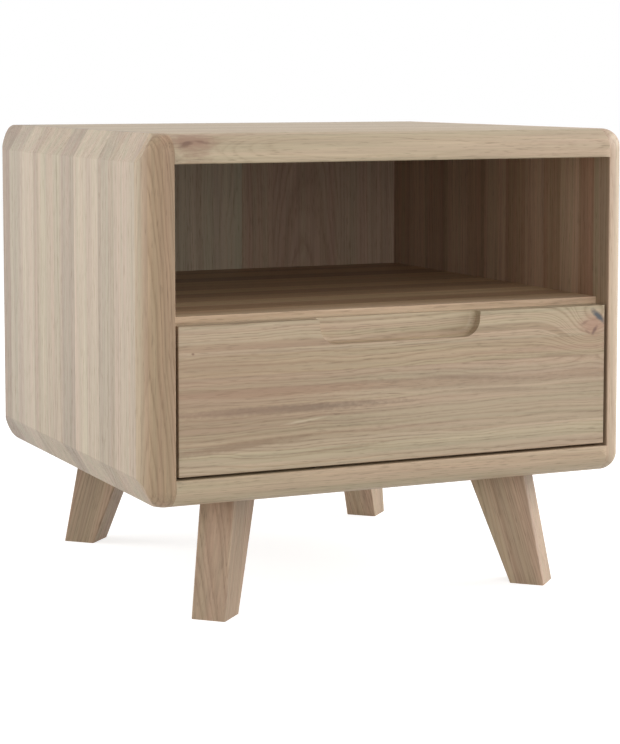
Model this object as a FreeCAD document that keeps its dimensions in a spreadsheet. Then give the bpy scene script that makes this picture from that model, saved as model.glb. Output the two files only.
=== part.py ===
import FreeCAD, Part
import os
import Sketcher

# A bedside cabinet in solid oak: a carcass of glued boards with bevelled and rounded edges,
# an open niche, one drawer on ball-bearing slides and four tapered, splayed legs.
# +X is the cabinet's right as seen from the front, the front faces -Y, and +Z is up.
# The origin is on the floor, under the middle of the carcass. Millimetres.

V = FreeCAD.Vector
doc = FreeCAD.newDocument("bedside_cabinet")

# ---------------------------------------------------------------- driving dimensions

SIZES = {
    # carcass
    "width": 450, "depth": 418, "height": 400, "leg_height": 100, "board": 24,
    "level_round": 22, "upright_round": 33, "corner_round": 15.5,
    "bevel_across": 13.5, "bevel_down": 23.4, "bevel_run_out": 10,
    "inner_easing": 0.8, "shelf_top": 253, "shelf_board": 18, "shelf_setback": 21.5,
    "back_board": 4, "back_inset": 4, "rebate_wide": 6, "back_play": 0.4,
    # legs
    "foot_inset_x": 74, "foot_inset_y": 44, "splay": 21.5, "leg_stock": 30,
    "foot_wide": 30.5, "leg_head_wide": 52, "leg_easing": 1.2,
    "bolt_radius": 4, "bolt_in_leg": 40, "insert_wall": 1.8, "insert_length": 12,
    "leg_dowel_offset": 14, "leg_dowel_in_leg": 18,
    # drawer
    "front_recess": 2.5, "front_board": 17.5, "front_side_gap": 2.6, "front_low_gap": 2.4,
    "front_height": 121, "front_easing": 0.8,
    "finger_wide": 150, "finger_floor_wide": 147, "finger_drop": 21, "finger_deep": 12,
    "finger_corner": 15, "finger_cove": 5,
    "box_board": 12, "box_height": 90, "box_lift": 10, "box_rear_space": 30,
    "tray_board": 5, "tray_lift": 10, "tray_groove": 6, "tray_play": 0.4,
    # slides
    "slide_space": 10, "slide_tall": 27, "slide_start": 24, "slide_from_rear": 6,
    "steel": 1, "ball_radius": 1.5, "race_play": 0.3, "ball_pitch": 32, "cage_length": 96,
    "travel": 250, "stop_deep": 1.5, "stop_tall": 8, "cage_from_web": 0.4,
    # fasteners
    "fit": 0.05, "dowel_radius": 4, "dowel_in_side": 12, "dowel_in_board": 22,
    "small_dowel_radius": 3, "small_dowel_in_side": 7, "small_dowel_in_board": 18,
    "screw_radius": 1.75, "screw_head_radius": 3.5, "slide_screw_length": 10,
    "front_screw_length": 24, "pin_radius": 0.8, "pin_length": 20,
    "bumper_radius": 4, "bumper_thick": 1.4,
}

sheet = doc.addObject("Spreadsheet::Sheet", "sizes")
for row, (alias, value) in enumerate(SIZES.items(), start=1):
    sheet.set("A%d" % row, alias)
    sheet.set("B%d" % row, str(value))
    sheet.setAlias("B%d" % row, alias)
doc.recompute()

# Places that several pieces share, as expressions of the sheet's cells.
OUTER = "(sizes.width / 2)"
INNER = "(sizes.width / 2 - sizes.board)"
MIDDLE_Z = "((sizes.height + sizes.leg_height) / 2)"
CARCASS_TALL = "(sizes.height - sizes.leg_height)"
FLOOR_TOP = "(sizes.leg_height + sizes.board)"
CEILING = "(sizes.height - sizes.board)"
BACK_FACE = "(sizes.depth - sizes.back_inset - sizes.back_board)"
FRONT_BACK = "(sizes.front_recess + sizes.front_board)"
BOX_OUTER = "(%s - sizes.slide_space)" % INNER
BOX_INNER = "(%s - sizes.box_board)" % BOX_OUTER
BOX_LOW = "(%s + sizes.box_lift)" % FLOOR_TOP
BOX_REAR = "(%s - sizes.box_rear_space)" % BACK_FACE
BOX_LONG = "(%s - %s)" % (BOX_REAR, FRONT_BACK)
SLIDE_LONG = "(%s - sizes.slide_from_rear - sizes.slide_start)" % BOX_REAR
SLIDE_Z = "(%s + sizes.box_height / 2)" % BOX_LOW
FRONT_HALF = "(%s - sizes.front_side_gap)" % INNER
FRONT_LOW = "(%s + sizes.front_low_gap)" % FLOOR_TOP
FRONT_TOP = "(%s + sizes.front_height)" % FRONT_LOW


# ---------------------------------------------------------------- how pieces are made

SIDES = (("left", -1), ("right", 1))


def signed(side, expression):
    return expression if side > 0 else "-(%s)" % expression


def bind(obj, **expressions):
    for prop, expression in expressions.items():
        obj.setExpression(prop, str(expression))
    return obj


def put(obj, x, y, z=0):
    """Place an object: x from the middle, y back from the carcass's front, z from the floor."""
    obj.setExpression("Placement.Base.x", str(x))
    obj.setExpression("Placement.Base.y", "%s - sizes.depth / 2" % y)
    obj.setExpression("Placement.Base.z", str(z))
    return obj


def block(name, x, y, z, long, deep, tall):
    box = bind(doc.addObject("Part::Box", name), Length=long, Width=deep, Height=tall)
    return put(box, x, y, z)


def rod(name, radius, length, x, y, z, axis, angle):
    """A cylinder that starts at (x, y, z) and is turned from +Z about the given axis."""
    cylinder = bind(doc.addObject("Part::Cylinder", name), Radius=radius, Height=length)
    cylinder.Placement.Rotation = FreeCAD.Rotation(axis, angle)
    return put(cylinder, x, y, z)


def cone(name, radius_low, radius_high, length, x, y, z, axis, angle):
    shape = bind(doc.addObject("Part::Cone", name), Radius1=radius_low, Radius2=radius_high,
                 Height=length)
    shape.Placement.Rotation = FreeCAD.Rotation(axis, angle)
    return put(shape, x, y, z)


def group(name, members):
    compound = doc.addObject("Part::Compound", name)
    compound.Links = members
    return compound


def fuse(name, members):
    fusion = doc.addObject("Part::MultiFuse", name)
    fusion.Shapes = members
    return fusion


def common(name, members):
    shared = doc.addObject("Part::MultiCommon", name)
    shared.Shapes = members
    return shared


def cut(name, base, tool):
    result = doc.addObject("Part::Cut", name)
    result.Base, result.Tool = base, tool
    return result


def origin_plane(body, role):
    return next(f for f in body.Origin.OriginFeatures if f.Role == role)


def new_sketch(body, name, role):
    sketch = body.newObject("Sketcher::SketchObject", name)
    sketch.AttachmentSupport = (origin_plane(body, role), "")
    sketch.MapMode = "FlatFace"
    return sketch


def fix_point(sketch, geometry, position, x, y):
    """Hold a point at (x, y); a leading minus puts it on the origin's other side."""
    for kind, axis_line, place in (("DistanceX", -2, str(x)), ("DistanceY", -1, str(y))):
        if place == "0":
            sketch.addConstraint(Sketcher.Constraint("PointOnObject", geometry, position, axis_line))
        elif place.startswith("-"):
            number = sketch.addConstraint(Sketcher.Constraint(kind, geometry, position, -1, 1, 1.0))
            sketch.setExpression("Constraints[%d]" % number, place[1:])
        else:
            number = sketch.addConstraint(Sketcher.Constraint(kind, -1, 1, geometry, position, 1.0))
            sketch.setExpression("Constraints[%d]" % number, place)


def side_of(place):
    return 0 if str(place) == "0" else -1 if str(place).startswith("-") else 1


def outline(sketch, corners):
    """A closed outline of straight lines through the corners."""
    count = len(corners)
    for index in range(count):
        (x0, y0), (x1, y1) = corners[index], corners[(index + 1) % count]
        start = V(side_of(x0) + 0.01 * index, side_of(y0) + 0.02 * index, 0)
        end = V(side_of(x1) + 0.01 * (index + 1), side_of(y1) + 0.02 * (index + 1), 0)
        sketch.addGeometry(Part.LineSegment(start, end))
    for index in range(count):
        sketch.addConstraint(Sketcher.Constraint("Coincident", index, 2, (index + 1) % count, 1))
    for index, (x, y) in enumerate(corners):
        fix_point(sketch, index, 1, x, y)


def pad(body, sketch, length, midplane=False, reversed_=False):
    feature = body.newObject("PartDesign::Pad", body.Name + "_pad")
    feature.Profile = sketch
    feature.setExpression("Length", length)
    feature.Midplane, feature.Reversed = midplane, reversed_
    sketch.Visibility = False
    doc.recompute()
    return feature


def fillet(body, base, edges, radius):
    feature = body.newObject("PartDesign::Fillet", body.Name + "_fillet")
    feature.Base = (base, edges)
    feature.setExpression("Radius", radius)
    doc.recompute()
    return feature


def edges_where(shape, test):
    return ["Edge%d" % (i + 1) for i, edge in enumerate(shape.Edges) if test(edge)]


def runs_along(edge, axis):
    line = edge.Curve
    return isinstance(line, Part.Line) and abs(line.Direction.dot(axis)) > 0.999


PIECES = []


def piece(obj, name):
    """Take an object as one of the cabinet's pieces, under the name it is filed by."""
    obj.Label = name
    PIECES.append(obj)
    return obj


# ---------------------------------------------------------------- form of the carcass

# The assembled carcass is shaped as one. Its front and rear edges are rounded all the way
# round, more fully on the uprights than on the top and bottom: each pair of opposite outer
# faces is one slab with rounded edges, and the form is what the two slabs share.

def long_slab(name, near, far, inset, radius, turn, angle):
    """A slab from near to far across, as deep as the carcass less an inset at each end, with
    the edges nearest the carcass's middle rounded. It is turned by the angle about that middle,
    falling to the right where turn is 1 and rising where it is -1."""
    body = doc.addObject("PartDesign::Body", name)
    sketch = new_sketch(body, name + "_plan", "XY_Plane")
    rear = "sizes.depth - %s" % inset
    outline(sketch, [(near, inset), (far, inset), (far, rear), (near, rear)])
    slab = pad(body, sketch, "sizes.width + sizes.height", midplane=True)
    reach = min(abs(vertex.X) for vertex in slab.Shape.Vertexes)
    fillet(body, slab, edges_where(slab.Shape, lambda edge: runs_along(edge, V(0, 0, 1))
                                   and abs(edge.Vertexes[0].X) < reach + 1), radius)
    body.Placement = FreeCAD.Placement(V(), FreeCAD.Rotation(V(0, turn, 0), 45))
    put(body, 0, 0, MIDDLE_Z)
    body.setExpression("Placement.Rotation.Angle", angle)
    return body


form = common("carcass_form", [
    long_slab("form_sides", "-" + OUTER, OUTER, "0", "sizes.upright_round", 1, "0"),
    long_slab("form_top_bottom", "-%s / 2" % CARCASS_TALL, CARCASS_TALL + " / 2", "0",
              "sizes.level_round", 1, "90"),
])
doc.recompute()

# The carcass's four long corners are rounded, then planed to a flat bevel, which runs out in a
# short hollow where the top's round-over begins, so that the corners stay round at the front.
BEVEL_ANGLE = "atan(sizes.bevel_across / sizes.bevel_down)"
BEVEL_FLAT = ("((cos(%s) * sizes.width + sin(%s) * (%s - 2 * sizes.bevel_down)) / 2)"
              % (BEVEL_ANGLE, BEVEL_ANGLE, CARCASS_TALL))


def bevel_cutter(name, side, turn):
    near, far = signed(side, BEVEL_FLAT), signed(side, BEVEL_FLAT + " + 2 * sizes.bevel_run_out")
    return long_slab(name, near, far, "(sizes.level_round - sizes.bevel_run_out)",
                     "sizes.bevel_run_out", turn, BEVEL_ANGLE)


def round_long_corners(name, blank):
    """Round a side board's outer corners, from its front edge over the top to its rear edge."""
    doc.recompute()
    body = doc.addObject("PartDesign::Body", name)
    body.BaseFeature = blank
    doc.recompute()
    middle = abs(blank.Shape.BoundBox.Center.x)
    corners = edges_where(blank.Shape, lambda edge: not runs_along(edge, V(1, 0, 0))
                          and not runs_along(edge, V(0, 0, 1))
                          and max(abs(vertex.X) for vertex in edge.Vertexes) > middle)
    fillet(body, body.Group[0], corners, "sizes.corner_round")
    return body


# ---------------------------------------------------------------- fasteners and their holes

def sideways_peg(name, side, inner_face, y, z, radius, in_side, in_board, slack="0"):
    """A dowel that crosses from a cross board into the upright board beside it."""
    start = signed(side, "%s - %s - %s" % (inner_face, in_board, slack))
    length = "%s + %s + 2 * %s" % (in_side, in_board, slack)
    return rod(name, "%s + %s" % (radius, slack), length, start, y, z, V(0, 1, 0), 90 * side)


def countersunk(name, side, x, y, z, length, slack="0"):
    """A countersunk screw that starts at x with its head and runs outward on its side."""
    turn = (V(0, 1, 0), 90 * side)
    head_deep = "2 * sizes.steel"
    head = cone(name + "_head", "sizes.screw_head_radius + %s" % slack,
                "sizes.screw_radius + %s" % slack, head_deep, signed(1, x), y, z, *turn)
    shank = rod(name + "_shank", "sizes.screw_radius + %s" % slack, "%s + %s" % (length, slack),
                x, y, z, *turn)
    return fuse(name, [head, shank])


def peg_set(name, spots, radius, in_side, in_board):
    """Dowels at spots (side, inner face, y, z), as (pegs, their holes)."""
    pegs, holes = [], []
    for number, (side, face, y, z) in enumerate(spots, start=1):
        where = (side, face, y, z, radius, in_side, in_board)
        pegs.append(sideways_peg("%s_%d" % (name, number), *where))
        holes.append(sideways_peg("%s_hole_%d" % (name, number), *where, slack="sizes.fit"))
    return pegs, holes


DOWEL_DEPTHS = ["sizes.depth * %s" % share for share in (0.16, 0.5, 0.84)]
BIG_DOWEL = ("sizes.dowel_radius", "sizes.dowel_in_side", "sizes.dowel_in_board")
SMALL_DOWEL = ("sizes.small_dowel_radius", "sizes.small_dowel_in_side", "sizes.small_dowel_in_board")

top_pegs, top_holes = peg_set(
    "top_dowel", [(s, INNER, y, "sizes.height - sizes.board / 2") for _, s in SIDES for y in DOWEL_DEPTHS],
    *BIG_DOWEL)
floor_pegs, floor_holes = peg_set(
    "floor_dowel", [(s, INNER, y, "sizes.leg_height + sizes.board / 2") for _, s in SIDES
                    for y in DOWEL_DEPTHS], *BIG_DOWEL)
shelf_pegs, shelf_holes = peg_set(
    "shelf_dowel", [(s, INNER, y, "sizes.shelf_top - sizes.shelf_board / 2") for _, s in SIDES
                    for y in (DOWEL_DEPTHS[0], DOWEL_DEPTHS[-1])], *BIG_DOWEL)
corner_pegs, corner_holes = peg_set(
    "corner_dowel", [(s, BOX_INNER, y, "%s + sizes.box_height * %s" % (BOX_LOW, share))
                     for _, s in SIDES for share in (0.3, 0.75)
                     for y in ("%s + sizes.box_board / 2" % FRONT_BACK,
                               "%s - sizes.box_board / 2" % BOX_REAR)], *SMALL_DOWEL)

SCREW_DEPTHS = ["sizes.slide_start + %s * %s" % (SLIDE_LONG, share) for share in (0.1, 0.9)]
side_screws, side_screw_holes, box_screws, box_screw_holes = [], [], [], []
for side_name, side in SIDES:
    for number, depth in enumerate(SCREW_DEPTHS, start=1):
        spot = (signed(side, "%s - sizes.steel" % INNER), depth, SLIDE_Z, "sizes.slide_screw_length")
        name = "side_screw_%s_%d" % (side_name, number)
        side_screws.append(countersunk(name, side, *spot))
        side_screw_holes.append(countersunk(name + "_hole", side, *spot, slack="sizes.fit"))
        spot = (signed(side, "%s + sizes.steel" % BOX_OUTER), depth, SLIDE_Z, "sizes.slide_screw_length")
        name = "box_screw_%s_%d" % (side_name, number)
        box_screws.append(countersunk(name, -side, *spot))
        box_screw_holes.append(countersunk(name + "_hole", -side, *spot, slack="sizes.fit"))

# Headless panel pins, driven flush, go forward through the back panel into the rebates and
# the shelf's rear edge.
PIN_START = "(%s + sizes.back_board)" % BACK_FACE
SHOULDER = "sizes.rebate_wide / 2"
pin_spots = [(signed(s, "%s + %s" % (INNER, SHOULDER)), "%s + %s * %s" % (FLOOR_TOP, CARCASS_TALL, share))
             for _, s in SIDES for share in (0.15, 0.69)]
pin_spots += [("0", "%s - %s" % (FLOOR_TOP, SHOULDER)), ("0", "%s + %s" % (CEILING, SHOULDER))]
pin_spots += [("%s * %s" % (INNER, share), "sizes.shelf_top - sizes.shelf_board / 2")
              for share in (-0.5, 0.5)]
pins, pin_holes = [], []
for number, (x, z) in enumerate(pin_spots, start=1):
    name = "back_pin_%d" % number
    forward = (V(1, 0, 0), 90)
    pins.append(rod(name, "sizes.pin_radius", "sizes.pin_length", x, PIN_START, z, *forward))
    pin_holes.append(rod(name + "_hole", "sizes.pin_radius + sizes.fit", "sizes.pin_length + sizes.fit",
                         x, PIN_START, z, *forward))

# ---------------------------------------------------------------- legs

# Each leg is cut from board: it tapers and leans in the one plane that runs out through the
# cabinet's corner, and keeps the board's thickness across that plane.

LEAN = "(sizes.splay * sqrt(2))"
HEAD_X = "(%s - sizes.foot_inset_x - sizes.splay)" % OUTER
HEAD_FRONT = "(sizes.foot_inset_y + sizes.splay)"
HEAD_REAR = "(sizes.depth - sizes.foot_inset_y - sizes.splay)"
LEGS = (("front_left", "-" + HEAD_X, HEAD_FRONT, 225), ("front_right", HEAD_X, HEAD_FRONT, 315),
        ("rear_left", "-" + HEAD_X, HEAD_REAR, 135), ("rear_right", HEAD_X, HEAD_REAR, 45))

bolts, inserts, leg_pegs, bottom_holes = [], [], [], []
for corner, x, y, heading in LEGS:
    body = doc.addObject("PartDesign::Body", "leg_blank_" + corner)
    sketch = new_sketch(body, "leg_outline_" + corner, "XZ_Plane")
    outline(sketch, [(LEAN + " - sizes.foot_wide / 2", 0), (LEAN + " + sizes.foot_wide / 2", 0),
                     ("sizes.leg_head_wide / 2", "sizes.leg_height"),
                     ("-sizes.leg_head_wide / 2", "sizes.leg_height")])
    blank = pad(body, sketch, "sizes.leg_stock", midplane=True)
    long_edges = edges_where(blank.Shape, lambda edge: abs(edge.Vertexes[0].Z - edge.Vertexes[1].Z) > 1)
    fillet(body, blank, long_edges, "sizes.leg_easing")
    body.Placement = FreeCAD.Placement(V(), FreeCAD.Rotation(V(0, 0, 1), heading))
    put(body, x, y)

    # A hanger bolt under the head, and a dowel further out that keeps the leg from turning.
    straight_up = (V(0, 0, 1), 0)
    bolt_low = "sizes.leg_height - sizes.bolt_in_leg"
    bolt_long = "sizes.bolt_in_leg + sizes.insert_length"
    bolts.append(rod("bolt_" + corner, "sizes.bolt_radius", bolt_long, x, y, bolt_low, *straight_up))
    peg_at = ("%s + sizes.leg_dowel_offset * cos(%d)" % (x, heading),
              "%s + sizes.leg_dowel_offset * sin(%d)" % (y, heading))
    peg_low = "sizes.leg_height - sizes.leg_dowel_in_leg"
    peg_long = "sizes.leg_dowel_in_leg + sizes.dowel_in_side"
    leg_pegs.append(rod("leg_dowel_" + corner, "sizes.dowel_radius", peg_long, *peg_at, peg_low,
                        *straight_up))
    bolt_hole = rod("bolt_hole_" + corner, "sizes.bolt_radius + sizes.fit", bolt_long + " + 2 * sizes.fit",
                    x, y, bolt_low + " - sizes.fit", *straight_up)
    peg_hole = rod("leg_dowel_hole_" + corner, "sizes.dowel_radius + sizes.fit",
                   peg_long + " + 2 * sizes.fit", *peg_at, peg_low + " - sizes.fit", *straight_up)
    sleeve = rod("sleeve_" + corner, "sizes.bolt_radius + sizes.insert_wall", "sizes.insert_length",
                 x, y, "sizes.leg_height", *straight_up)
    sleeve_hole = rod("sleeve_hole_" + corner, "sizes.bolt_radius + sizes.insert_wall + sizes.fit",
                      "sizes.insert_length + sizes.fit", x, y, "sizes.leg_height", *straight_up)
    inserts.append(cut("insert_" + corner, sleeve, bolt_hole))
    bottom_holes += [sleeve_hole, peg_hole]
    piece(cut("leg_bored_" + corner, body, group("leg_holes_" + corner, [bolt_hole, peg_hole])),
          "leg_" + corner)

piece(group("bolts", bolts), "leg_hanger_bolts")
piece(group("inserts", inserts), "leg_threaded_inserts")
piece(group("leg_pegs", leg_pegs), "leg_dowels")

# ---------------------------------------------------------------- carcass boards

rebate = block("rebate", "-(%s + sizes.rebate_wide)" % INNER, BACK_FACE,
               "%s - sizes.rebate_wide" % FLOOR_TOP, "2 * (%s + sizes.rebate_wide)" % INNER,
               "sizes.back_board + 2 * sizes.back_inset",
               "%s - 2 * sizes.board + 2 * sizes.rebate_wide" % CARCASS_TALL)

# The edges round the carcass's opening are broken with a fine chamfer. Each cutter is a
# square bar, turned on edge and centred on the edge that it breaks.
CUTTER_SIDE = "(sizes.inner_easing * sqrt(2))"
UPRIGHT_FRONT = ("(sizes.upright_round - sqrt(sizes.upright_round ^ 2"
                 " - (sizes.upright_round - sizes.board) ^ 2))")
opening_cutters = []
for side_name, side in SIDES:
    bar = block("upright_cutter_" + side_name, signed(side, INNER), UPRIGHT_FRONT + " - sizes.inner_easing",
                FLOOR_TOP, CUTTER_SIDE, CUTTER_SIDE, "%s - %s" % (CEILING, FLOOR_TOP))
    bar.Placement.Rotation = FreeCAD.Rotation(V(0, 0, 1), 45)
    opening_cutters.append(bar)
for level_name, level in (("low", FLOOR_TOP), ("high", CEILING)):
    bar = block("level_cutter_" + level_name, "-" + INNER, 0, level + " - sizes.inner_easing",
                "2 * " + INNER, CUTTER_SIDE, CUTTER_SIDE)
    bar.Placement.Rotation = FreeCAD.Rotation(V(1, 0, 0), 45)
    opening_cutters.append(bar)

for side_name, side in SIDES:
    start = INNER if side > 0 else "-" + OUTER
    stock = block("side_stock_" + side_name, start, 0, "sizes.leg_height", "sizes.board",
                  "sizes.depth", CARCASS_TALL)
    rounded = round_long_corners("side_rounded_" + side_name,
                                 common("side_blank_" + side_name, [form, stock]))
    bevels = [bevel_cutter("bevel_cutter_%s_%s" % (side_name, label), side, turn)
              for label, turn in (("rising", 1), ("falling", -1))]
    shaped = cut("side_shaped_" + side_name, rounded, group("bevels_" + side_name, bevels))
    holes = group("side_joinery_" + side_name,
                  [rebate] + opening_cutters + top_holes + floor_holes + shelf_holes
                  + side_screw_holes + pin_holes)
    piece(cut("side_" + side_name, shaped, holes), side_name + "_side_board")


def cross_board(name, z, holes):
    stock = block(name + "_stock", "-" + INNER, 0, z, "2 * " + INNER, "sizes.depth", "sizes.board")
    shaped = common(name + "_shaped", [form, stock])
    joinery = group(name + "_joinery", [rebate] + opening_cutters + holes)
    return cut(name + "_board_cut", shaped, joinery)


piece(cross_board("top", CEILING, top_holes + pin_holes), "top_board")
piece(cross_board("bottom", "sizes.leg_height", floor_holes + bottom_holes + pin_holes), "bottom_board")

shelf = block("shelf_stock", "-" + INNER, "sizes.shelf_setback", "sizes.shelf_top - sizes.shelf_board",
              "2 * " + INNER, "%s - sizes.shelf_setback" % BACK_FACE, "sizes.shelf_board")
piece(cut("shelf", shelf, group("shelf_joinery", shelf_holes + pin_holes)), "shelf_board")

PANEL_HALF = "(%s + sizes.rebate_wide - sizes.back_play)" % INNER
back = block("back_stock", "-" + PANEL_HALF, BACK_FACE,
             "%s - sizes.rebate_wide + sizes.back_play" % FLOOR_TOP, "2 * " + PANEL_HALF, "sizes.back_board",
             "%s - 2 * (sizes.board - sizes.rebate_wide + sizes.back_play)" % CARCASS_TALL)
piece(cut("back", back, group("back_joinery", pin_holes)), "back_panel")

piece(group("top_pegs", top_pegs), "top_board_dowels")
piece(group("floor_pegs", floor_pegs), "bottom_board_dowels")
piece(group("shelf_pegs", shelf_pegs), "shelf_dowels")
piece(group("pins", pins), "back_panel_pins")

bumper_z = "(%s + sizes.shelf_top - sizes.shelf_board) / 2" % FRONT_TOP
piece(group("bumpers", [rod("bumper_" + side_name, "sizes.bumper_radius", "sizes.bumper_thick",
                            signed(side, "%s * 0.75" % INNER), "sizes.shelf_setback", bumper_z,
                            V(1, 0, 0), 90) for side_name, side in SIDES]), "drawer_bumpers")

# ---------------------------------------------------------------- drawer front

# A plain board with a routed finger recess in the middle of its top edge: open at the front
# and the top, with ends that lean out a little, full round corners and a coved floor.

front_body = doc.addObject("PartDesign::Body", "front_blank")
front_sketch = new_sketch(front_body, "front_outline", "XZ_Plane")
outline(front_sketch, [("-" + FRONT_HALF, 0), (FRONT_HALF, 0), (FRONT_HALF, "sizes.front_height"),
                       ("-" + FRONT_HALF, "sizes.front_height")])
front_pad = pad(front_body, front_sketch, "sizes.front_board", reversed_=True)

recess_sketch = new_sketch(front_body, "recess_outline", "XZ_Plane")
RECESS_LOW = "sizes.front_height - sizes.finger_drop"
outline(recess_sketch, [("-sizes.finger_floor_wide / 2", RECESS_LOW),
                        ("sizes.finger_floor_wide / 2", RECESS_LOW),
                        ("sizes.finger_wide / 2", "sizes.front_height"),
                        ("-sizes.finger_wide / 2", "sizes.front_height")])
recess = front_body.newObject("PartDesign::Pocket", "finger_recess")
recess.Profile = recess_sketch
recess.setExpression("Length", "sizes.finger_deep")
doc.recompute()
if recess.Shape.Volume > front_pad.Shape.Volume - 1:
    recess.Reversed = True
    doc.recompute()

front_low_z = SIZES["front_height"] - SIZES["finger_drop"]


def is_recess_corner(edge):
    return runs_along(edge, V(0, 1, 0)) and abs(edge.CenterOfMass.z - front_low_z) < 0.1


corner_edges = edges_where(recess.Shape, is_recess_corner)
corners = fillet(front_body, recess, corner_edges, "sizes.finger_corner")


def is_recess_floor(edge):
    """The edges where the recess meets its back wall, round its floor and up its ends."""
    middle = edge.CenterOfMass
    return (abs(edge.Vertexes[0].Y - SIZES["finger_deep"]) < 0.01
            and abs(edge.Vertexes[1].Y - SIZES["finger_deep"]) < 0.01
            and middle.z < SIZES["front_height"] - 0.1)


cove = fillet(front_body, corners, edges_where(corners.Shape, is_recess_floor), "sizes.finger_cove")


def is_front_rim(edge):
    flat = all(abs(vertex.Y) < 0.01 for vertex in edge.Vertexes)
    outer = abs(edge.CenterOfMass.z) < 0.1 or abs(edge.CenterOfMass.x) > SIZES["finger_wide"]
    return flat and outer


rim = fillet(front_body, cove, edges_where(cove.Shape, is_front_rim), "sizes.front_easing")
put(front_body, 0, "sizes.front_recess", FRONT_LOW)

front_screws, front_screw_holes = [], []
for side_name, side in SIDES:
    for number, share in enumerate((0.25, 0.8), start=1):
        name = "front_screw_%s_%d" % (side_name, number)
        x, z = signed(side, "%s * 0.7" % BOX_INNER), "%s + sizes.box_height * %s" % (BOX_LOW, share)
        inside = "%s + sizes.box_board" % FRONT_BACK
        shank = rod(name + "_shank", "sizes.screw_radius", "sizes.front_screw_length", x, inside, z,
                    V(1, 0, 0), 90)
        head = rod(name + "_head", "sizes.screw_head_radius", "sizes.screw_radius", x,
                   inside + " + sizes.screw_radius", z, V(1, 0, 0), 90)
        front_screws.append(fuse(name, [shank, head]))
        front_screw_holes.append(rod(name + "_hole", "sizes.screw_radius + sizes.fit",
                                     "sizes.front_screw_length + sizes.fit", x, inside, z,
                                     V(1, 0, 0), 90))
piece(cut("front", front_body, group("front_joinery", front_screw_holes)), "drawer_front")

# ---------------------------------------------------------------- drawer box

TRAY_Z = "(%s + sizes.tray_lift)" % BOX_LOW
TRAY_EDGE = "(sizes.tray_groove - sizes.tray_play)"
groove = block("tray_groove_tool", "-(%s + sizes.tray_groove)" % BOX_INNER,
               "%s + sizes.box_board - sizes.tray_groove" % FRONT_BACK, "%s - sizes.tray_play / 2" % TRAY_Z,
               "2 * (%s + sizes.tray_groove)" % BOX_INNER,
               "%s - 2 * (sizes.box_board - sizes.tray_groove)" % BOX_LONG,
               "sizes.tray_board + sizes.tray_play")
tray = block("tray", "-(%s + %s)" % (BOX_INNER, TRAY_EDGE),
             "%s + sizes.box_board - %s" % (FRONT_BACK, TRAY_EDGE), TRAY_Z,
             "2 * (%s + %s)" % (BOX_INNER, TRAY_EDGE),
             "%s - 2 * (sizes.box_board - %s)" % (BOX_LONG, TRAY_EDGE), "sizes.tray_board")
piece(tray, "drawer_bottom")

for side_name, side in SIDES:
    start = BOX_INNER if side > 0 else "-" + BOX_OUTER
    stock = block("box_side_stock_" + side_name, start, FRONT_BACK, BOX_LOW, "sizes.box_board",
                  BOX_LONG, "sizes.box_height")
    tool = group("box_side_joinery_" + side_name, [groove] + corner_holes + box_screw_holes)
    piece(cut("box_side_" + side_name, stock, tool), "drawer_side_" + side_name)

for name, y, extra in (("drawer_inner_front", FRONT_BACK, front_screw_holes),
                       ("drawer_rear_board", "%s - sizes.box_board" % BOX_REAR, [])):
    stock = block(name + "_stock", "-" + BOX_INNER, y, BOX_LOW, "2 * " + BOX_INNER, "sizes.box_board",
                  "sizes.box_height")
    piece(cut(name + "_cut", stock, group(name + "_joinery", [groove] + corner_holes + extra)), name)

piece(group("corner_pegs", corner_pegs), "drawer_corner_dowels")
piece(group("front_screw_set", front_screws), "drawer_front_screws")
piece(group("side_screw_set", side_screws), "slide_cabinet_screws")
piece(group("box_screw_set", box_screws), "slide_drawer_screws")

# ---------------------------------------------------------------- ball-bearing slides

# Seen along the drawer's travel, each slide is two steel channels with rolled races, one
# inside the other, and a cage that holds a row of balls between the upper and lower races.
# Across the slide, u runs from the cabinet side (0) to the drawer side (slide_space).

RACE = "(sizes.ball_radius + sizes.race_play)"
BALL_RISE = "(sizes.slide_tall / 2 - sizes.steel - %s)" % RACE
MIDDLE_U = "(sizes.slide_space / 2)"
CAGE_SHEET = "(sizes.steel / 2)"
CAGE_U = "(sizes.steel + sizes.cage_from_web)"
CAGE_START = "(sizes.slide_start + sizes.travel / 2 + 1.5 * sizes.stop_deep)"
BALLS_IN_ROW = 3
# Degrees that each member's rolled races cover round the balls, as seen on the left side.
OUTER_RACE = (-10, 90)
INNER_RACE = (210, 270)


def across(side, name, low_u, high_u, y, low_z, deep, tall):
    """A block between two places across the slide, its height given from the slide's middle."""
    start = "%s - (%s)" % (INNER, high_u) if side > 0 else "(%s) - %s" % (low_u, INNER)
    wide = "(%s) - (%s)" % (high_u, low_u)
    return block(name, start, y, "%s + %s" % (SLIDE_Z, low_z), wide, deep, tall)


def race(side, name, row, start, end, y):
    """A rolled strip round a row of balls, from one angle to another in the left-hand slide."""
    if row < 0:
        start, end = -end, -start
    if side > 0:
        start, end = 180 - end, 180 - start
    turn = FreeCAD.Rotation(V(1, 0, 0), -90).multiply(FreeCAD.Rotation(V(0, 0, 1), -end))
    x = signed(side, "%s - %s" % (INNER, MIDDLE_U))
    z = "%s + %d * %s" % (SLIDE_Z, row, BALL_RISE)
    outer = bind(doc.addObject("Part::Cylinder", name + "_outside"), Radius="%s + sizes.steel" % RACE,
                 Height=SLIDE_LONG, Angle=end - start)
    inner = bind(doc.addObject("Part::Cylinder", name + "_inside"), Radius=RACE,
                 Height=SLIDE_LONG)
    for cylinder in (outer, inner):
        cylinder.Placement.Rotation = turn
        put(cylinder, x, y, z)
    return cut(name, outer, inner)


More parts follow.
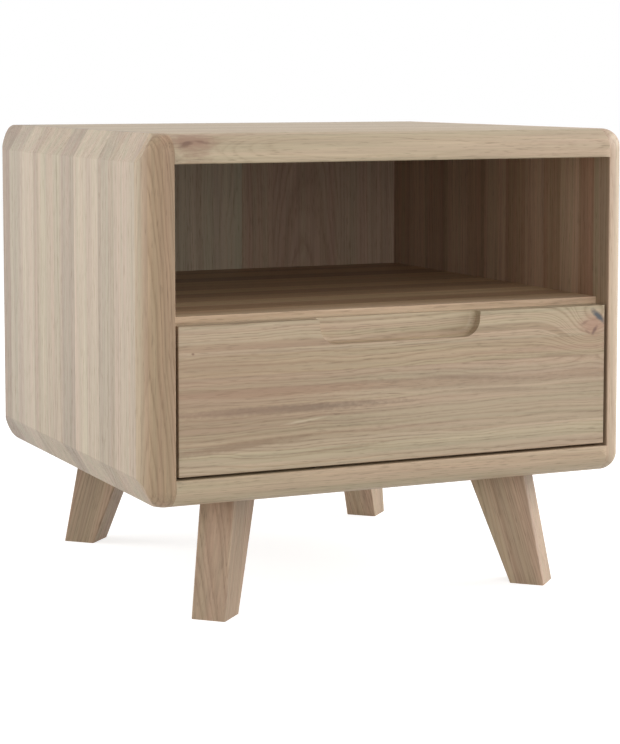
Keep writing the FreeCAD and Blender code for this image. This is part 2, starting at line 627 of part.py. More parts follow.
def channel(side, name, web, flange_low, flange_reach, race_angles):
    """A slide member: a web, two flanges and the two races they carry."""
    low_u, high_u, half_tall = web
    start = "sizes.slide_start"
    members = [across(side, name + "_web", low_u, high_u, start, "-1 * " + half_tall,
                      SLIDE_LONG, "2 * " + half_tall)]
    for row, label in ((1, "upper"), (-1, "lower")):
        low_z = flange_low if row > 0 else "-1 * (%s + sizes.steel)" % flange_low
        members.append(across(side, "%s_%s_flange" % (name, label), *flange_reach, start, low_z,
                              SLIDE_LONG, "sizes.steel"))
        members.append(race(side, "%s_%s_race" % (name, label), row, *race_angles, start))
    return members


for side_name, side in SIDES:
    outer_parts = channel(side, "outer_" + side_name, ("0", "sizes.steel", "(sizes.slide_tall / 2)"),
                          "(sizes.slide_tall / 2 - sizes.steel)", ("0", MIDDLE_U), OUTER_RACE)
    stop_depths = ("sizes.slide_start", "%s + sizes.cage_length + sizes.stop_deep / 2" % CAGE_START)
    for number, y in enumerate(stop_depths, start=1):
        outer_parts.append(across(side, "cage_stop_%s_%d" % (side_name, number), "sizes.steel",
                                  "2 * sizes.steel", y, "-sizes.stop_tall / 2", "sizes.stop_deep",
                                  "sizes.stop_tall"))
    outer_channel = fuse("outer_channel_" + side_name, outer_parts)
    drilled = group("outer_drill_" + side_name, side_screw_holes)
    piece(cut("outer_member_" + side_name, outer_channel, drilled), "slide_outer_member_" + side_name)

    inner_rise = "(%s - %s)" % (BALL_RISE, RACE)
    inner_parts = channel(side, "inner_" + side_name,
                          ("(sizes.slide_space - sizes.steel)", "sizes.slide_space", inner_rise),
                          "(%s - sizes.steel)" % inner_rise, (MIDDLE_U, "sizes.slide_space"), INNER_RACE)
    inner_channel = fuse("inner_channel_" + side_name, inner_parts)
    drilled = group("inner_drill_" + side_name, box_screw_holes)
    piece(cut("inner_member_" + side_name, inner_channel, drilled), "slide_inner_member_" + side_name)

    # The cage: a sheet-steel strip with a punched window for each ball, and the balls in it.
    flange_low = "(%s - %s / 2)" % (BALL_RISE, CAGE_SHEET)
    cage_parts = [across(side, "cage_web_" + side_name, CAGE_U, "%s + %s" % (CAGE_U, CAGE_SHEET), CAGE_START,
                         "-1 * %s" % flange_low, "sizes.cage_length", "2 * %s" % flange_low)]
    balls, windows = [], []
    for row, label in ((1, "upper"), (-1, "lower")):
        low_z = flange_low if row > 0 else "-1 * (%s + %s)" % (flange_low, CAGE_SHEET)
        cage_parts.append(across(side, "cage_flange_%s_%s" % (side_name, label), CAGE_U,
                                 "%s + sizes.ball_radius" % MIDDLE_U, CAGE_START, low_z,
                                 "sizes.cage_length", CAGE_SHEET))
        for number in range(BALLS_IN_ROW):
            name = "ball_%s_%s_%d" % (side_name, label, number + 1)
            x = signed(side, "%s - %s" % (INNER, MIDDLE_U))
            steps = number - (BALLS_IN_ROW - 1) / 2
            y = "%s + sizes.cage_length / 2 + %g * sizes.ball_pitch" % (CAGE_START, steps)
            z = "%s + %d * %s" % (SLIDE_Z, row, BALL_RISE)
            ball = bind(doc.addObject("Part::Sphere", name), Radius="sizes.ball_radius")
            balls.append(put(ball, x, y, z))
            window = "(sizes.ball_radius + sizes.fit)"
            windows.append(block(name + "_window", "%s - %s" % (x, window), "%s - %s" % (y, window),
                                 "%s - %s" % (z, window), *["2 * " + window] * 3))
    cage_strip = fuse("cage_strip_" + side_name, cage_parts)
    piece(cut("cage_" + side_name, cage_strip, group("ball_windows_" + side_name, windows)),
          "ball_cage_" + side_name)
    piece(group("ball_set_" + side_name, balls), "cage_balls_" + side_name)

# ---------------------------------------------------------------- check and export

doc.recompute()
faulty = [obj.Label for obj in doc.Objects if {"Invalid", "Error"} & set(obj.State)]
for obj in PIECES:
    if obj.Shape.isNull() or not obj.Shape.isValid() or not obj.Shape.Solids:
        faulty.append(obj.Label)
if faulty:
    raise RuntimeError("these pieces did not build: " + ", ".join(faulty))

os.makedirs("parts", exist_ok=True)
for obj in PIECES:
    obj.Shape.exportStep("parts/%s.step" % obj.Label)
print("exported %d pieces" % len(PIECES))
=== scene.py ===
import bmesh
import bpy
import math
import random
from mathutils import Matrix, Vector


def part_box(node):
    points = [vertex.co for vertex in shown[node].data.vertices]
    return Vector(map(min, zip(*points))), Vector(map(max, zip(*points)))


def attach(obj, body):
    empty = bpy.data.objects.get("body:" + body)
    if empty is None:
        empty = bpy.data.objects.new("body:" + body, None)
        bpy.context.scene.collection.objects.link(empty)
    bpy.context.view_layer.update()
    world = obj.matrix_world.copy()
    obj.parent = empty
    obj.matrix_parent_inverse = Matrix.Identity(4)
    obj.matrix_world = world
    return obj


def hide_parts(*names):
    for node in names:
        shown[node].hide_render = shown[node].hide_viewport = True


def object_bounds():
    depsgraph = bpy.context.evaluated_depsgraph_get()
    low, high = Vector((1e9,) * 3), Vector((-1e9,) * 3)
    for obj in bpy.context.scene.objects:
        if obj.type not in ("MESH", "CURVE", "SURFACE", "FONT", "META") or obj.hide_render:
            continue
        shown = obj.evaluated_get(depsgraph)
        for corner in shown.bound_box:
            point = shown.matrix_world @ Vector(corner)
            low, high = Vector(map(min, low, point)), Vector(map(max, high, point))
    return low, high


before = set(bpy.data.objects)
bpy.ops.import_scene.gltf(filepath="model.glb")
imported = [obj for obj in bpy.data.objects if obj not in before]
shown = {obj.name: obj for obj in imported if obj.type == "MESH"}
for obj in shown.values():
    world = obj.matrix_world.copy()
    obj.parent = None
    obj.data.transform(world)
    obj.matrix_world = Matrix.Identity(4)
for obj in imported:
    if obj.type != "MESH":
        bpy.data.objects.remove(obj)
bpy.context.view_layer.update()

# ------------------------------------------------------------------ side boards
# Two panels of solid oak, edge-glued from narrow staves with the grain upright, then bevelled
# and rounded as one with the top and bottom, sanded fine and finished with a pale matt oil.

MM = 1000.0  # millimetres in a metre


def linear(colour):
    """An sRGB hex colour as linear RGBA."""
    channels = [int(colour[i:i + 2], 16) / 255 for i in (1, 3, 5)]
    curve = [c / 12.92 if c <= 0.04045 else ((c + 0.055) / 1.055) ** 2.4 for c in channels]
    return (*curve, 1.0)


def add(tree, kind, links=None, **settings):
    """Add a shader node with its settings; links holds each socket's value or what feeds it."""
    made = tree.nodes.new("ShaderNode" + kind)
    for name, value in settings.items():
        setattr(made, name, value)
    for socket, value in (links or {}).items():
        if isinstance(value, bpy.types.NodeSocket):
            tree.links.new(value, made.inputs[socket])
        else:
            made.inputs[socket].default_value = value
    return made


def oak(name, board, grain, across, staves, end, ring=3.2, wave=6.0, crown=0.6, figure=1.0, marks=(),
        seed=1, gloss=0.52):
    """Solid oak, sanded and oiled: short dark pores and soft rings on a pale ground of low gloss.

    The growth rings are shells round each stave's own pith, so that a face shows straight lines
    or a cathedral as its stave was sawn. Lengths are in millimetres. staves lists where each
    stave starts across the board and its colour; a third entry, "crown", marks one sawn near the
    pith, and end is where the last one stops. ring is the spacing of the rings and wave how far
    the grain wanders. crown is how strongly a crowned stave's rings show, and figure how strongly
    all of them do. marks are stains and knots: where they lie along and across the grain, half
    length, half width, slant in degrees, colour, strength and how far they swell the rings."""
    material = bpy.data.materials.new(name)
    material.use_nodes = True
    tree = material.node_tree
    tree.nodes.clear()
    place = add(tree, "TexCoord").outputs["Object"]
    lowest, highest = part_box(board)
    middle = (lowest + highest) / 2 * MM
    deep = Vector(grain).cross(Vector(across))
    mm = add(tree, "VectorMath", {0: place, "Scale": MM}, operation="SCALE").outputs[0]
    run, side, depth = [add(tree, "VectorMath", {0: mm, 1: axis}, operation="DOT_PRODUCT").outputs["Value"]
                        for axis in (tuple(grain), tuple(across), tuple(deep))]
    low = add(tree, "Math", {0: depth, 1: middle.dot(deep)}, operation="SUBTRACT").outputs[0]

    # Each stave has a pith of its own, to one side and below it, and leans a little. One sawn
    # near the pith leans more, which draws its rings out into cathedrals.
    start = staves[0][0]
    edges = [stave[0] for stave in staves] + [end]
    chance = random.Random(seed)
    crowned_side, crowned_below, crowned_lean = 4, (26, 40), 0.07
    plain_side, plain_below, plain_lean, plain_strength = (60, 150), (30, 110), 0.022, 0.35
    sideways_lean = 0.012
    reach, longest_shift, zero = 1000.0, 5000.0, 0.5
    piths, leans = [], []
    for index, stave in enumerate(staves):
        crowned = "crown" in stave
        centre = (edges[index] + edges[index + 1]) / 2
        if crowned:
            sideways = chance.uniform(-crowned_side, crowned_side)
        else:
            sideways = chance.choice((-1, 1)) * chance.uniform(*plain_side)
        below = chance.uniform(*(crowned_below if crowned else plain_below))
        piths.append(((centre + sideways) / reach + zero, below / reach + zero, chance.random(), 1.0))
        slope = crowned_lean if crowned else plain_lean
        leans.append((zero + chance.uniform(-sideways_lean, sideways_lean),
                      zero + slope * chance.choice((-1, 1)), crown if crowned else plain_strength, 1.0))

    # The place across the board looks up its stave's colour, pith and lean. These ramps hold
    # values from 0 to 1, so a length is held as a share of the reach, and 0.5 stands for none.
    share = add(tree, "MapRange", {"Value": side, "From Min": start, "From Max": end}).outputs[0]
    found = []
    for row in ([linear(stave[1]) for stave in staves], piths, leans):
        ramp = add(tree, "ValToRGB", {"Fac": share})
        ramp.color_ramp.interpolation = "CONSTANT"
        while len(ramp.color_ramp.elements) < len(row):
            ramp.color_ramp.elements.new(1.0)
        for element, edge, value in zip(ramp.color_ramp.elements, edges, row):
            element.position = (edge - start) / (end - start)
            element.color = value
        found.append(ramp.outputs[0])
    body, pith, lean = found
    none = -reach * zero
    pith = add(tree, "VectorMath", {0: pith, 1: (reach, reach, longest_shift), 2: (none, none, 0)},
               operation="MULTIPLY_ADD").outputs[0]
    away = add(tree, "SeparateXYZ", {0: pith}).outputs
    tilt = add(tree, "SeparateXYZ", {0: lean}).outputs

    # Where a point lies along, across and below. Each stave is shifted along its grain by a
    # length of its own, so that no two show the same pattern.
    here = add(tree, "CombineXYZ", {0: run, 1: side, 2: low}).outputs[0]
    shift = add(tree, "CombineXYZ", {0: away[2]}).outputs[0]
    here = add(tree, "VectorMath", {0: here, 1: shift}, operation="ADD").outputs[0]

    # The log's section round the pith. It leans along the run, wanders by twice the wave in a
    # slow pattern 200 mm long and by a third of it in a quick one 45 mm long.
    section = add(tree, "CombineXYZ", {1: side, 2: low}).outputs[0]
    core = add(tree, "CombineXYZ", {1: away[0], 2: away[1]}).outputs[0]
    section = add(tree, "VectorMath", {0: section, 1: core}, operation="SUBTRACT").outputs[0]
    aslant = add(tree, "CombineXYZ", {1: tilt[0], 2: tilt[1]}).outputs[0]
    aslant = add(tree, "VectorMath", {0: aslant, 1: (0, zero, zero)}, operation="SUBTRACT").outputs[0]
    along = add(tree, "VectorMath", {0: aslant, "Scale": run}, operation="SCALE").outputs[0]
    section = add(tree, "VectorMath", {0: section, 1: along}, operation="ADD").outputs[0]
    for long, wide, size in ((200, 60, 2 * wave), (45, 18, 0.35 * wave)):
        spot = add(tree, "VectorMath", {0: here, 1: (1 / long, 1 / wide, 1 / wide)},
                   operation="MULTIPLY").outputs[0]
        wander = add(tree, "TexNoise", {"Vector": spot, "Scale": 1.0, "Detail": 2.0}).outputs["Color"]
        wander = add(tree, "VectorMath", {0: wander, 1: (0, size, size), 2: (0, -size / 2, -size / 2)},
                     operation="MULTIPLY_ADD").outputs[0]
        section = add(tree, "VectorMath", {0: section, 1: wander}, operation="ADD").outputs[0]
    girth = add(tree, "VectorMath", {0: section}, operation="LENGTH").outputs["Value"]

    # Stains and knots, whose edges are frayed along the fibres. A knot also swells the rings
    # round it, most at its heart.
    fray, fray_long, fray_wide = 0.7, 5, 3
    solid_share, falloff = 0.35, -0.35
    stains = []
    for mark_run, mark_side, length, width, slant, colour, strength, swell in marks:
        spot = add(tree, "CombineXYZ", {0: run, 1: side}).outputs[0]
        spot = add(tree, "VectorMath", {0: spot, 1: (mark_run, mark_side, 0)},
                   operation="SUBTRACT").outputs[0]
        spot = add(tree, "VectorRotate", {"Vector": spot, "Angle": math.radians(-slant)},
                   rotation_type="Z_AXIS").outputs[0]
        spot = add(tree, "VectorMath", {0: spot, 1: (1 / length, 1 / width, 0)},
                   operation="MULTIPLY").outputs[0]
        edge = add(tree, "VectorMath", {0: here, 1: (1 / fray_long, 1 / fray_wide, 1 / fray_wide)},
                   operation="MULTIPLY").outputs[0]
        edge = add(tree, "TexNoise", {"Vector": edge, "Scale": 1.0, "Detail": 2.0}).outputs["Color"]
        edge = add(tree, "VectorMath", {0: edge, 1: (fray, fray, 0), 2: (-fray / 2, -fray / 2, 0)},
                   operation="MULTIPLY_ADD").outputs[0]
        frayed = add(tree, "VectorMath", {0: spot, 1: edge}, operation="ADD").outputs[0]
        gap = add(tree, "VectorMath", {0: frayed}, operation="LENGTH").outputs["Value"]
        cover = add(tree, "MapRange", {"Value": gap, "From Min": solid_share, "From Max": 1.0,
                                       "To Min": strength, "To Max": 0.0}).outputs[0]
        stains.append((cover, colour))
        if swell:
            gap = add(tree, "VectorMath", {0: spot}, operation="LENGTH").outputs["Value"]
            bulge = add(tree, "Math", {0: gap, 1: gap}, operation="MULTIPLY").outputs[0]
            bulge = add(tree, "Math", {0: bulge, 1: falloff}, operation="MULTIPLY").outputs[0]
            bulge = add(tree, "Math", {0: bulge}, operation="EXPONENT").outputs[0]
            girth = add(tree, "Math", {0: bulge, 1: swell, 2: girth}, operation="MULTIPLY_ADD").outputs[0]

    # Rings: a thin dark line of open early wood, then paler late wood. Good and poor summers
    # space them unevenly.
    unevenness = 2.2
    years = add(tree, "Math", {0: girth, 1: 1 / ring}, operation="MULTIPLY").outputs[0]
    summers = add(tree, "TexNoise", {"W": years, "Scale": 0.4, "Detail": 1.0},
                  noise_dimensions="1D").outputs[0]
    years = add(tree, "Math", {0: summers, 1: unevenness, 2: years}, operation="MULTIPLY_ADD").outputs[0]
    season = add(tree, "Math", {0: years}, operation="FRACT").outputs[0]
    early = add(tree, "ValToRGB", {"Fac": season})
    early.color_ramp.elements[0].color = (0.35, 0.35, 0.35, 1)
    early.color_ramp.elements[1].color = (0.25, 0.25, 0.25, 1)
    for position, value in ((0.12, 1.0), (0.38, 0.3), (0.7, 0.0)):
        early.color_ramp.elements.new(position).color = (value, value, value, 1)
    early = early.outputs[0]

    # Fibre streaks 1.9 mm wide, broad bands of tint, and pores 13 mm long. The pores are drawn
    # 0.9 mm wide where real ones are 0.3 mm, so that they show, and lie thickest in early wood.
    patterns = []
    for long, wide, detail, roughness in ((90, 1.9, 3.0, 0.65), (420, 9, 2.0, 0.5), (13, 0.9, 1.0, 0.5)):
        spot = add(tree, "VectorMath", {0: here, 1: (1 / long, 1 / wide, 1 / wide)},
                   operation="MULTIPLY").outputs[0]
        patterns.append(add(tree, "TexNoise", {"Vector": spot, "Scale": 1.0, "Detail": detail,
                                               "Roughness": roughness}))
    fibre, bands, pores = patterns
    late_limit, early_limit, pore_edge = 0.62, 0.55, 0.12
    bands = add(tree, "SeparateXYZ", {0: bands.outputs["Color"]}).outputs
    limit = add(tree, "MapRange", {"Value": early, "To Min": late_limit, "To Max": early_limit}).outputs[0]
    pores = add(tree, "Math", {0: pores.outputs[0], 1: limit}, operation="SUBTRACT").outputs[0]
    pores = add(tree, "MapRange", {"Value": pores, "From Max": pore_edge}).outputs[0]

    # The stave's colour turns cooler or warmer by the band, browner in the early wood, and
    # darker or paler by the fibre, the band and the pore.
    warmth = add(tree, "MapRange", {"Value": bands[1], "From Min": 0.35, "From Max": 0.65}).outputs[0]
    tint = add(tree, "Mix", {0: warmth, 6: linear("#FAFAF0"), 7: linear("#FFF4EF")},
               data_type="RGBA").outputs[2]
    body = add(tree, "Mix", {0: 1.0, 6: body, 7: tint}, data_type="RGBA", blend_type="MULTIPLY").outputs[2]
    brown = add(tree, "Mix", {0: 1.0, 6: body, 7: linear("#CFC3B8")}, data_type="RGBA",
                blend_type="MULTIPLY").outputs[2]
    ringed = add(tree, "Math", {0: early, 1: tilt[2]}, operation="MULTIPLY").outputs[0]
    ringed = add(tree, "Math", {0: ringed, 1: figure}, operation="MULTIPLY").outputs[0]
    body = add(tree, "Mix", {0: ringed, 6: body, 7: brown}, data_type="RGBA").outputs[2]
    for pattern, least, most, tone_at_least, tone_at_most in ((fibre.outputs[0], 0.3, 0.7, 0.87, 1.08),
                                                              (bands[0], 0.3, 0.7, 0.91, 1.09),
                                                              (pores, 0.0, 1.0, 1.0, 0.8)):
        tone = add(tree, "MapRange", {"Value": pattern, "From Min": least, "From Max": most,
                                      "To Min": tone_at_least, "To Max": tone_at_most}).outputs[0]
        body = add(tree, "VectorMath", {0: body, "Scale": tone}, operation="SCALE").outputs[0]
    for cover, colour in stains:
        body = add(tree, "Mix", {0: cover, 6: body, 7: linear(colour)}, data_type="RGBA").outputs[2]

    # The oil leaves pores and early wood open, 0.08 mm deep at most, and dull.
    relief = add(tree, "Math", {0: early, 1: pores}, operation="ADD").outputs[0]
    bump = add(tree, "Bump", {"Height": relief, "Strength": 0.3, "Distance": 0.08 / MM},
               invert=True).outputs[0]
    rough = add(tree, "MapRange", {"Value": pores, "To Min": gloss, "To Max": 0.8}).outputs[0]
    surface = add(tree, "BsdfPrincipled", {"Base Color": body, "Roughness": rough, "Normal": bump,
                                           "IOR": 1.48})
    output = add(tree, "OutputMaterial")
    tree.links.new(surface.outputs[0], output.inputs["Surface"])
    return material


def finish(material, *names):
    """Give whole pieces one material."""
    for name in names:
        mesh = shown[name].data
        mesh.materials.clear()
        mesh.materials.append(material)


UP, ALONG, BACK = (0.0, 0.0, 1.0), (1.0, 0.0, 0.0), (0.0, 1.0, 0.0)

# The bevels run right out through the boards' rear ends, so each board's rear half is drawn
# anew behind the cut. These are the bevel's size, the rounds of the rear corner, the rebate for
# the back and how far it stops short of the board's ends.
BEVEL_ACROSS, BEVEL_DOWN = 0.0135, 0.0234
UPRIGHT_ROUND, LEVEL_ROUND = 0.033, 0.022
REBATE_WIDE, REBATE_START, REBATE_SHORT = 0.006, 0.201, 0.018
ROUND_SHARE = 0.891  # of the upright round, where it meets the rebate
CUT = 0.06
OUTSIDE = 6  # of a ring's ten corners are on the outside, and four step into the rebate
CREASE = math.radians(25)
TOUCH, DECIMALS = 0.000001, 6  # points nearer than this are one


def side_board(name, side, oiled):
    """A side board: its front half as it stands, and a rear half whose bevels run out."""
    lowest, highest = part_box(name)
    inner, outer = sorted(abs(x) for x in (lowest.x, highest.x))
    middle, tall = (lowest.z + highest.z) / 2, (highest.z - lowest.z) / 2
    rear = -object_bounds()[0][1]
    board = bmesh.new()
    board.from_mesh(shown[name].data)
    cut = bmesh.ops.bisect_plane(board, geom=board.verts[:] + board.edges[:] + board.faces[:],
                                 plane_co=(0, CUT, 0), plane_no=(0, 1, 0), clear_outer=True)
    seam = [part.co.copy() for part in cut["geom_cut"] if isinstance(part, bmesh.types.BMVert)]

    # Each ring goes round the board at one depth, with the rebate's step on its inner side.
    to_rebate, to_end = [math.asin((y - rear + UPRIGHT_ROUND) / UPRIGHT_ROUND)
                         for y in (REBATE_START, rear - UPRIGHT_ROUND + UPRIGHT_ROUND * ROUND_SHARE)]
    depths = [(CUT, 0, 0)]
    for first, last, steps, step_in in ((0, to_rebate, 8, 0), (to_rebate, to_end, 4, REBATE_WIDE)):
        for step in range(steps + 1):
            turn = first + (last - first) * step / steps
            depths.append((rear - UPRIGHT_ROUND * (1 - math.sin(turn)), turn, step_in))
    flat_x, flat_z = outer - BEVEL_ACROSS, tall - BEVEL_DOWN
    lip = tall - REBATE_SHORT
    rings = []
    for y, turn, step_in in depths:
        out = outer - UPRIGHT_ROUND * (1 - math.cos(turn))
        past = max(0.0, y - rear + LEVEL_ROUND)
        up = tall - LEVEL_ROUND + math.sqrt(LEVEL_ROUND ** 2 - past ** 2)
        x = min(out, flat_x + BEVEL_ACROSS * (1 - (up - flat_z) / BEVEL_DOWN))
        z = min(up, flat_z + BEVEL_DOWN * (1 - (out - flat_x) / BEVEL_ACROSS))
        corners = ((inner, -up), (x, -up), (out, -z), (out, z), (x, up), (inner, up), (inner, lip),
                   (inner + step_in, lip), (inner + step_in, -lip), (inner, -lip))
        rings.append([board.verts.new((side * a, y, middle + b)) for a, b in corners])

    # At the cut the new half takes the front half's own points, so that no gap is left there.
    centre = (inner + outer) / 2
    seam = {(round(point.x, DECIMALS), round(point.z, DECIMALS)): point for point in seam}
    seam = sorted(seam.values(), key=lambda point: math.atan2(point.z - middle, point.x * side - centre))
    loop = [board.verts.new(point) for point in seam]
    bends = [min(range(len(seam)), key=lambda k: (seam[k] - corner.co).length)
             for corner in rings[0][:OUTSIDE]]
    for index, first in enumerate(bends):
        last = bends[(index + 1) % OUTSIDE]
        near = [loop[k % len(loop)] for k in range(first, last + 1 + (len(loop) if last < first else 0))]
        far = [rings[1][index + 1], rings[1][index]]
        if index == OUTSIDE - 1:
            far = [rings[1][0]] + rings[1][:OUTSIDE - 2:-1]
        board.faces.new(near + far)
    bmesh.ops.delete(board, geom=rings[0], context="VERTS")
    for near, far in zip(rings[1:], rings[2:]):
        for index in range(len(near)):
            after = (index + 1) % len(near)
            board.faces.new((near[index], near[after], far[after], far[index]))
    for corners in ((0, 1, 2, 8, 9), (2, 3, 7, 8), (3, 4, 5, 6, 7)):
        board.faces.new([rings[-1][corner] for corner in corners])

    # The new half is made one closed skin. It shades smooth, with sharp lines at the bevel and
    # the rebate.
    drawn = [point for point in board.verts if point.co.y > CUT - TOUCH
             and all(face.calc_center_median().y > CUT for face in point.link_faces)]
    bmesh.ops.remove_doubles(board, verts=drawn, dist=TOUCH)
    drawn = [face for face in board.faces if face.calc_center_median().y > CUT]
    bmesh.ops.recalc_face_normals(board, faces=drawn)
    for face in drawn:
        face.smooth = True
        for edge in face.edges:
            if len(edge.link_faces) == 2 and edge.calc_face_angle(0.0) > CREASE:
                edge.smooth = False
    mesh = bpy.data.meshes.new(name + "_whole")
    board.to_mesh(mesh)
    mesh.materials.clear()
    mesh.materials.append(oiled)
    piece = bpy.data.objects.new(name + "_whole", mesh)
    bpy.context.scene.collection.objects.link(piece)
    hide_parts(name)
    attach(piece, "cabinet")


side_staves = ((-209, "#BAA288", "crown"), (-195.5, "#B5A187"), (-181, "#B8A895"), (-165, "#BAAC99"),
               (-131, "#B0A18D"), (-121, "#ADA08E"), (-92, "#BBAE9B"), (-31, "#A69888"), (4, "#B2A592"),
               (75, "#A89988"), (86, "#B6A998"), (118, "#AA9E8E"), (158, "#998A7B", "crown"))
side_board("left_side_board", -1, oak("oiled_oak_left_side", "left_side_board", UP, BACK, side_staves, 209,
                                      crown=0.55, seed=4))
right_staves = ((-209, "#BBA790"), (-183, "#B99B84"), (-160, "#CBB39C"), (-128, "#BDA18A"), (-98, "#CCB49E"),
                (-66, "#C0A48D"), (-30, "#CFB7A2"), (8, "#BFA48F"), (44, "#CDB6A2"), (84, "#C2A995"),
                (124, "#CCB6A2"), (164, "#C0AA95"))
side_board("right_side_board", 1, oak("oiled_oak_right_side", "right_side_board", UP, BACK, right_staves,
                                      209, seed=11))

# ------------------------------------------------------------------ top and bottom boards
# The same edge-glued oak with the grain from side to side, dowelled between the side boards.
# Their rounded front edges are the rails seen above the niche and below the drawer.

top_staves = ((-209, "#C0AF98"), (-163, "#B8A78F"), (-108, "#BDAF9A"), (-62, "#B6A791"), (-10, "#BDAF9B"),
              (44, "#B4A490"), (98, "#BBAD98"), (152, "#B3A490"))
# A small brown knot with two dark cracks at the left end of the upper rail.
rail_marks = ((-184, -202, 26, 9, 0, "#9A7865", 0.75, 12.0), (-190, -204, 9, 2.2, 12, "#6F5244", 0.75, 0.0),
              (-176, -203, 8, 1.6, -8, "#7A5B4B", 0.6, 0.0))
finish(oak("oiled_oak_top", "top_board", ALONG, BACK, top_staves, 209, figure=0.6, marks=rail_marks, seed=3),
       "top_board")
bottom_staves = ((-209, "#CAB9A0"), (-158, "#B9A58C"), (-96, "#C0AF97"), (-38, "#B9A68D"), (30, "#C0AF98"),
                 (96, "#B8A58D"), (148, "#BCAC94"))
finish(oak("oiled_oak_bottom", "bottom_board", ALONG, BACK, bottom_staves, 209, figure=0.6, seed=29),
       "bottom_board")

# ------------------------------------------------------------------ shelf and back panel
# The shelf is a plain edge-glued board between niche and drawer. The back is a thin panel with
# upright staves, held in a rebate by small pins.

# The first stave holds the shelf's front edge. Its colour is the wood's own, painted paler as a painted
# highlight along that edge.
shelf_staves_and_edge_highlight = ((-188, "#D6BFA6"), (-172, "#C6AC8F"), (-150, "#B0957A"), (-118, "#CDB596"), (-84, "#B99E82"),
                (-52, "#A88D73"), (-20, "#C4AA8C"), (12, "#B2977B"), (48, "#BFA588"), (84, "#A38870"),
                (120, "#B99F83"), (160, "#A98E76"))
finish(oak("oiled_oak_shelf", "shelf_board", ALONG, BACK, shelf_staves_and_edge_highlight, 202, seed=5), "shelf_board")
back_staves = ((-208, "#B9AC96"), (-128, "#BDB09B"), (-52, "#BAAF9C"), (28, "#B09A87"),
               (62, "#AF9886", "crown"), (136, "#AE9A88"))
finish(oak("oiled_oak_back", "back_panel", UP, ALONG, back_staves, 208, crown=0.4, seed=17), "back_panel")

# ------------------------------------------------------------------ drawer front
# One wide oak board with lively, wavy grain from side to side, a knot at its upper right corner
# and a few stains, under the same pale matt oil. The finger recess is routed through it.

front_staves = ((126, "#BEAE97"), (149, "#B6A48D"), (181, "#B8A690"), (205, "#BDA991"), (222, "#C2B19A"))
front_marks = (
    (187, 231, 17, 13, 0, "#AE8672", 0.62, 30.0),      # the knot's pink halo, which swells the rings
    (192, 238, 11, 3.4, -40, "#4B5157", 0.95, 0.0),    # its blue-grey crack
    (188, 226, 6, 2.2, 55, "#70544A", 0.75, 0.0),      # small cracks beside it
    (178, 233, 5, 1.6, 20, "#8A6A5A", 0.6, 0.0),
    (181, 225, 4, 1.4, -30, "#8A6A5A", 0.6, 0.0),
    (-186, 225, 1.6, 1.3, 0, "#7C5C4A", 0.8, 0.0),     # a pin knot
    (-110, 176, 130, 4.6, 0, "#7D6C5A", 0.8, 0.0),     # brown bands
    (-150, 148, 80, 4, 4, "#8C745C", 0.65, 0.0),
    (70, 192, 70, 3, -4, "#88705A", 0.65, 0.0),
    (95, 180, 55, 2.4, -2, "#88705A", 0.65, 0.0),
    (160, 205, 38, 1.8, -3, "#8A705A", 0.5, 0.0),
    (-60, 140, 60, 1.8, 3, "#94795F", 0.4, 0.0),
    (-90, 165, 26, 1.2, 6, "#DCCDB2", 0.45, 0.0),      # a pale medullary fleck
    (-170, 190, 160, 50, 3, "#AC8B72", 0.34, 0.0),     # a warm, slightly darker left half
    (110, 165, 190, 50, 0, "#C9B8A0", 0.25, 0.0),      # a paler right half
)
finish(oak("oiled_oak_drawer_front", "drawer_front", ALONG, UP, front_staves, 248, ring=3.4, wave=9.0,
           figure=1.6, marks=front_marks, seed=8), "drawer_front")

# ------------------------------------------------------------------ drawer box
# Four plain oak boards dowelled at the corners, sanded but hardly oiled, so that they look
# yellower than the outside, round a bottom of thin oak ply with a slightly glossy lacquer.

box_staves = ((130, "#C6B493"), (180, "#CAB998"))
finish(oak("sanded_oak_box", "drawer_side_left", BACK, UP, box_staves, 226, seed=2), "drawer_side_left",
       "drawer_side_right")
finish(oak("sanded_oak_box_ends", "drawer_rear_board", ALONG, UP, box_staves, 226, seed=6),
       "drawer_inner_front", "drawer_rear_board")
finish(oak("lacquered_oak_ply", "drawer_bottom", ALONG, BACK, ((-184, "#CDBB9C"), (0, "#CBB898")), 184,
           seed=7, gloss=0.35), "drawer_bottom")

# ------------------------------------------------------------------ legs
# Four oak legs that splay outwards, each glued from two staves with the grain down its length,
# planed to a taper and held by a hanger bolt and a dowel.

LEG_SPLAY = 0.21
STAVE_REACH, LEG_SEAM = 60, 4  # millimetres: past the leg's outside, and off its middle
for number, (corner, dx, dy) in enumerate((("front_left", -1, -1), ("front_right", 1, -1),
                                           ("rear_left", -1, 1), ("rear_right", 1, 1))):
    lean = Vector((dx * LEG_SPLAY, dy * LEG_SPLAY, -1.0)).normalized()
    outwards = Vector((dx, dy, 0)).normalized()
    across_leg = (outwards - lean * outwards.dot(lean)).normalized()
    low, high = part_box("leg_" + corner)
    centre = ((low + high) / 2 * MM).dot(across_leg)
    leg_staves = ((centre - STAVE_REACH, "#C1AC95"), (centre - LEG_SEAM, "#B8A38D"))
    finish(oak("oiled_oak_leg_" + corner, "leg_" + corner, tuple(lean), tuple(across_leg), leg_staves,
               centre + STAVE_REACH, ring=2.2, wave=3.0, figure=1.4, seed=40 + number), "leg_" + corner)

# ------------------------------------------------------------------ dowels
# Round beech dowels glued into the boards' edges, cut from straight-grained rod: a plain
# pinkish wood with hardly any figure.

finish(oak("beech_dowel", "shelf_dowels", ALONG, UP, ((90, "#C9A77E"),), 400, seed=9), "top_board_dowels",
       "bottom_board_dowels", "shelf_dowels", "drawer_corner_dowels", "leg_dowels")

# ------------------------------------------------------------------ slides, screws and inserts
# Ball-bearing slides rolled from zinc-plated steel strip, with polished balls in pressed cages,
# and the zinc-plated screws, pins and hanger bolts. The legs' inserts are turned brass.

# Drawing and rolling leave scratches along the metal, drawn 1.1 mm wide and 25 mm long where
# real ones are finer, so that they show.
SCRATCHES_A_METRE = (900, 40, 900)


